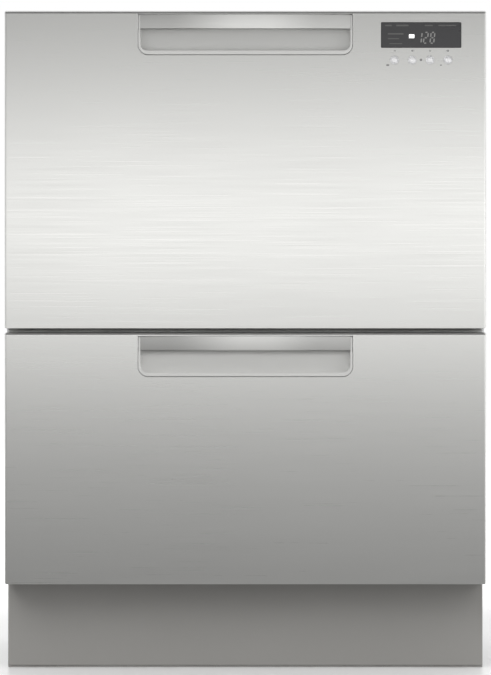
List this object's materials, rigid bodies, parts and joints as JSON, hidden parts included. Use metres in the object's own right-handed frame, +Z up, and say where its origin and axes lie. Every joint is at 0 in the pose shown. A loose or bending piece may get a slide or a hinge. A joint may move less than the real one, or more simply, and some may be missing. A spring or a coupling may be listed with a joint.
{
  "type": "double dishwasher drawer",
  "caption": "Built-in dishwasher with stacked stainless drawers that slide out on runners, each with its own tub, lid and racks, over a toe plate.",
  "frame": {"origin": "on the floor under the middle of the bounding box, with the feet screwed right in", "axes": "+Z up, drawer fronts face -Y, +X to the right seen from the front"},
  "size_m": [0.599, 0.573, 0.82],
  "materials": {
    "stainless": "fine horizontal brushing",
    "grip": "fine brushing along its length",
    "recess": "silver-grey satin moulding",
    "liner": "plain moulding",
    "display": "dark smoked window",
    "button": "satin chrome",
    "module": "plain moulding",
    "cabinet": "galvanised sheet",
    "base": "galvanised sheet",
    "toe": "satin grey",
    "runner": "zinc plated",
    "screw": "zinc plated",
    "tub": "light grey moulding",
    "lid": "light grey moulding",
    "seal": "soft matt",
    "wire": "nylon-coated wire",
    "spray": "grey-blue moulding",
    "pump": "dark moulding",
    "filter": "grey moulding",
    "cutlery": "grey moulding",
    "foot": "black moulding",
    "hose": "ribbed hose",
    "fitting": "dark moulding"
  },
  "bodies": {
    "cabinet": {"left_side_panel": "cabinet", "right_side_panel": "cabinet", "top_panel": "cabinet", "back_panel": "cabinet", "base_pan": "base", "cross_rail": "cabinet", "toe_plate": "toe", "fixed_runners": "runner", "lid_actuators": "fitting", "service_fittings": "fitting", "cabinet_screws": "screw", "upper_hose_link": "hose", "lower_hose_link": "hose"},
    "foot_front_left": {"foot_front_left": "foot"},
    "foot_rear_left": {"foot_rear_left": "foot"},
    "foot_front_right": {"foot_front_right": "foot"},
    "foot_rear_right": {"foot_rear_right": "foot"},
    "upper_drawer": {"upper_tub": "tub", "upper_front_skin": "stainless", "upper_front_liner": "liner", "upper_handle_recess": "recess", "upper_grip_bar": "grip", "upper_inner_runners": "runner", "upper_wash_pump": "pump", "upper_filter_plate": "filter", "upper_basket": "wire", "upper_dispenser": "lid", "display_window": "display", "control_module": "module", "cutlery_basket": "cutlery"},
    "upper_runner": {"upper_middle_runners": "runner"},
    "upper_lid": {"upper_lid": "lid", "upper_lid_seal": "seal"},
    "upper_spray_arm": {"upper_spray_arm": "spray"},
    "upper_rotor": {"upper_pump_rotor": "spray"},
    "upper_dispenser_door": {"upper_dispenser_door": "lid"},
    "upper_cup_rack": {"upper_cup_rack": "wire"},
    "upper_folding_tines": {"upper_folding_tines": "wire"},
    "lower_drawer": {"lower_tub": "tub", "lower_front_skin": "stainless", "lower_front_liner": "liner", "lower_handle_recess": "recess", "lower_grip_bar": "grip", "lower_inner_runners": "runner", "lower_wash_pump": "pump", "lower_filter_plate": "filter", "lower_basket": "wire", "lower_dispenser": "lid"},
    "lower_runner": {"lower_middle_runners": "runner"},
    "lower_lid": {"lower_lid": "lid", "lower_lid_seal": "seal"},
    "lower_spray_arm": {"lower_spray_arm": "spray"},
    "lower_rotor": {"lower_pump_rotor": "spray"},
    "lower_dispenser_door": {"lower_dispenser_door": "lid"},
    "lower_cup_rack": {"lower_cup_rack": "wire"},
    "lower_folding_tines": {"lower_folding_tines": "wire"},
    "power_button": {"power_button": "button"},
    "program_button": {"program_button": "button"},
    "option_button": {"option_button": "button"},
    "start_button": {"start_button": "button"}
  },
  "joints": [
    {"name": "foot_front_left_screw", "type": "slide", "parent": "cabinet", "child": "foot_front_left", "axis": [0, 0, -1], "range_m": [0, 0.06]},
    {"name": "foot_rear_left_screw", "type": "slide", "parent": "cabinet", "child": "foot_rear_left", "axis": [0, 0, -1], "range_m": [0, 0.06]},
    {"name": "foot_front_right_screw", "type": "slide", "parent": "cabinet", "child": "foot_front_right", "axis": [0, 0, -1], "range_m": [0, 0.06]},
    {"name": "foot_rear_right_screw", "type": "slide", "parent": "cabinet", "child": "foot_rear_right", "axis": [0, 0, -1], "range_m": [0, 0.06]},
    {"name": "upper_drawer_slide", "type": "slide", "parent": "cabinet", "child": "upper_drawer", "axis": [0, -1, 0], "range_m": [0, 0.5], "deforming": ["upper_hose_link"]},
    {"name": "upper_runner_slide", "type": "slide", "parent": "cabinet", "child": "upper_runner", "axis": [0, -1, 0], "range_m": [0, 0.25]},
    {"name": "upper_lid_drop", "type": "slide", "parent": "cabinet", "child": "upper_lid", "axis": [0, 0, -1], "range_m": [0, 0.01], "stiffness_N_per_m": 1500, "springref_m": -0.02},
    {"name": "upper_spray_arm_spin", "type": "hinge", "parent": "upper_drawer", "child": "upper_spray_arm", "pos_m": [0, -0.0105, 0.497], "axis": [0, 0, 1], "continuous": true},
    {"name": "upper_rotor_spin", "type": "hinge", "parent": "upper_drawer", "child": "upper_rotor", "pos_m": [0, -0.0105, 0.462], "axis": [0, 0, 1], "continuous": true},
    {"name": "upper_dispenser_door_hinge", "type": "hinge", "parent": "upper_drawer", "child": "upper_dispenser_door", "pos_m": [-0.104, -0.224, 0.728], "axis": [-1, 0, 0], "range_deg": [0, 90]},
    {"name": "upper_cup_rack_hinge", "type": "hinge", "parent": "upper_drawer", "child": "upper_cup_rack", "pos_m": [-0.25295, -0.0105, 0.59505], "axis": [0, -1, 0], "range_deg": [0, 88]},
    {"name": "upper_folding_tines_hinge", "type": "hinge", "parent": "upper_drawer", "child": "upper_folding_tines", "pos_m": [0, -0.001, 0.52755], "axis": [-1, 0, 0], "range_deg": [0, 85]},
    {"name": "lower_drawer_slide", "type": "slide", "parent": "cabinet", "child": "lower_drawer", "axis": [0, -1, 0], "range_m": [0, 0.5], "deforming": ["lower_hose_link"]},
    {"name": "lower_runner_slide", "type": "slide", "parent": "cabinet", "child": "lower_runner", "axis": [0, -1, 0], "range_m": [0, 0.25]},
    {"name": "lower_lid_drop", "type": "slide", "parent": "cabinet", "child": "lower_lid", "axis": [0, 0, -1], "range_m": [0, 0.01], "stiffness_N_per_m": 1500, "springref_m": -0.02},
    {"name": "lower_spray_arm_spin", "type": "hinge", "parent": "lower_drawer", "child": "lower_spray_arm", "pos_m": [0, -0.0105, 0.179], "axis": [0, 0, 1], "continuous": true},
    {"name": "lower_rotor_spin", "type": "hinge", "parent": "lower_drawer", "child": "lower_rotor", "pos_m": [0, -0.0105, 0.144], "axis": [0, 0, 1], "continuous": true},
    {"name": "lower_dispenser_door_hinge", "type": "hinge", "parent": "lower_drawer", "child": "lower_dispenser_door", "pos_m": [-0.104, -0.224, 0.328], "axis": [-1, 0, 0], "range_deg": [0, 90]},
    {"name": "lower_cup_rack_hinge", "type": "hinge", "parent": "lower_drawer", "child": "lower_cup_rack", "pos_m": [-0.25295, -0.0105, 0.27705], "axis": [0, -1, 0], "range_deg": [0, 88]},
    {"name": "lower_folding_tines_hinge", "type": "hinge", "parent": "lower_drawer", "child": "lower_folding_tines", "pos_m": [0, -0.001, 0.20955], "axis": [-1, 0, 0], "range_deg": [0, 85]},
    {"name": "power_button_press", "type": "slide", "parent": "upper_drawer", "child": "power_button", "axis": [0, 1, 0], "range_m": [0, 0.001], "stiffness_N_per_m": 1000, "springref_m": -0.001},
    {"name": "program_button_press", "type": "slide", "parent": "upper_drawer", "child": "program_button", "axis": [0, 1, 0], "range_m": [0, 0.001], "stiffness_N_per_m": 1000, "springref_m": -0.001},
    {"name": "option_button_press", "type": "slide", "parent": "upper_drawer", "child": "option_button", "axis": [0, 1, 0], "range_m": [0, 0.001], "stiffness_N_per_m": 1000, "springref_m": -0.001},
    {"name": "start_button_press", "type": "slide", "parent": "upper_drawer", "child": "start_button", "axis": [0, 1, 0], "range_m": [0, 0.001], "stiffness_N_per_m": 1000, "springref_m": -0.001}
  ],
  "couplings": [
    {"joint": "upper_runner_slide", "follows": "upper_drawer_slide", "ratio": 0.5},
    {"joint": "lower_runner_slide", "follows": "lower_drawer_slide", "ratio": 0.5}
  ]
}
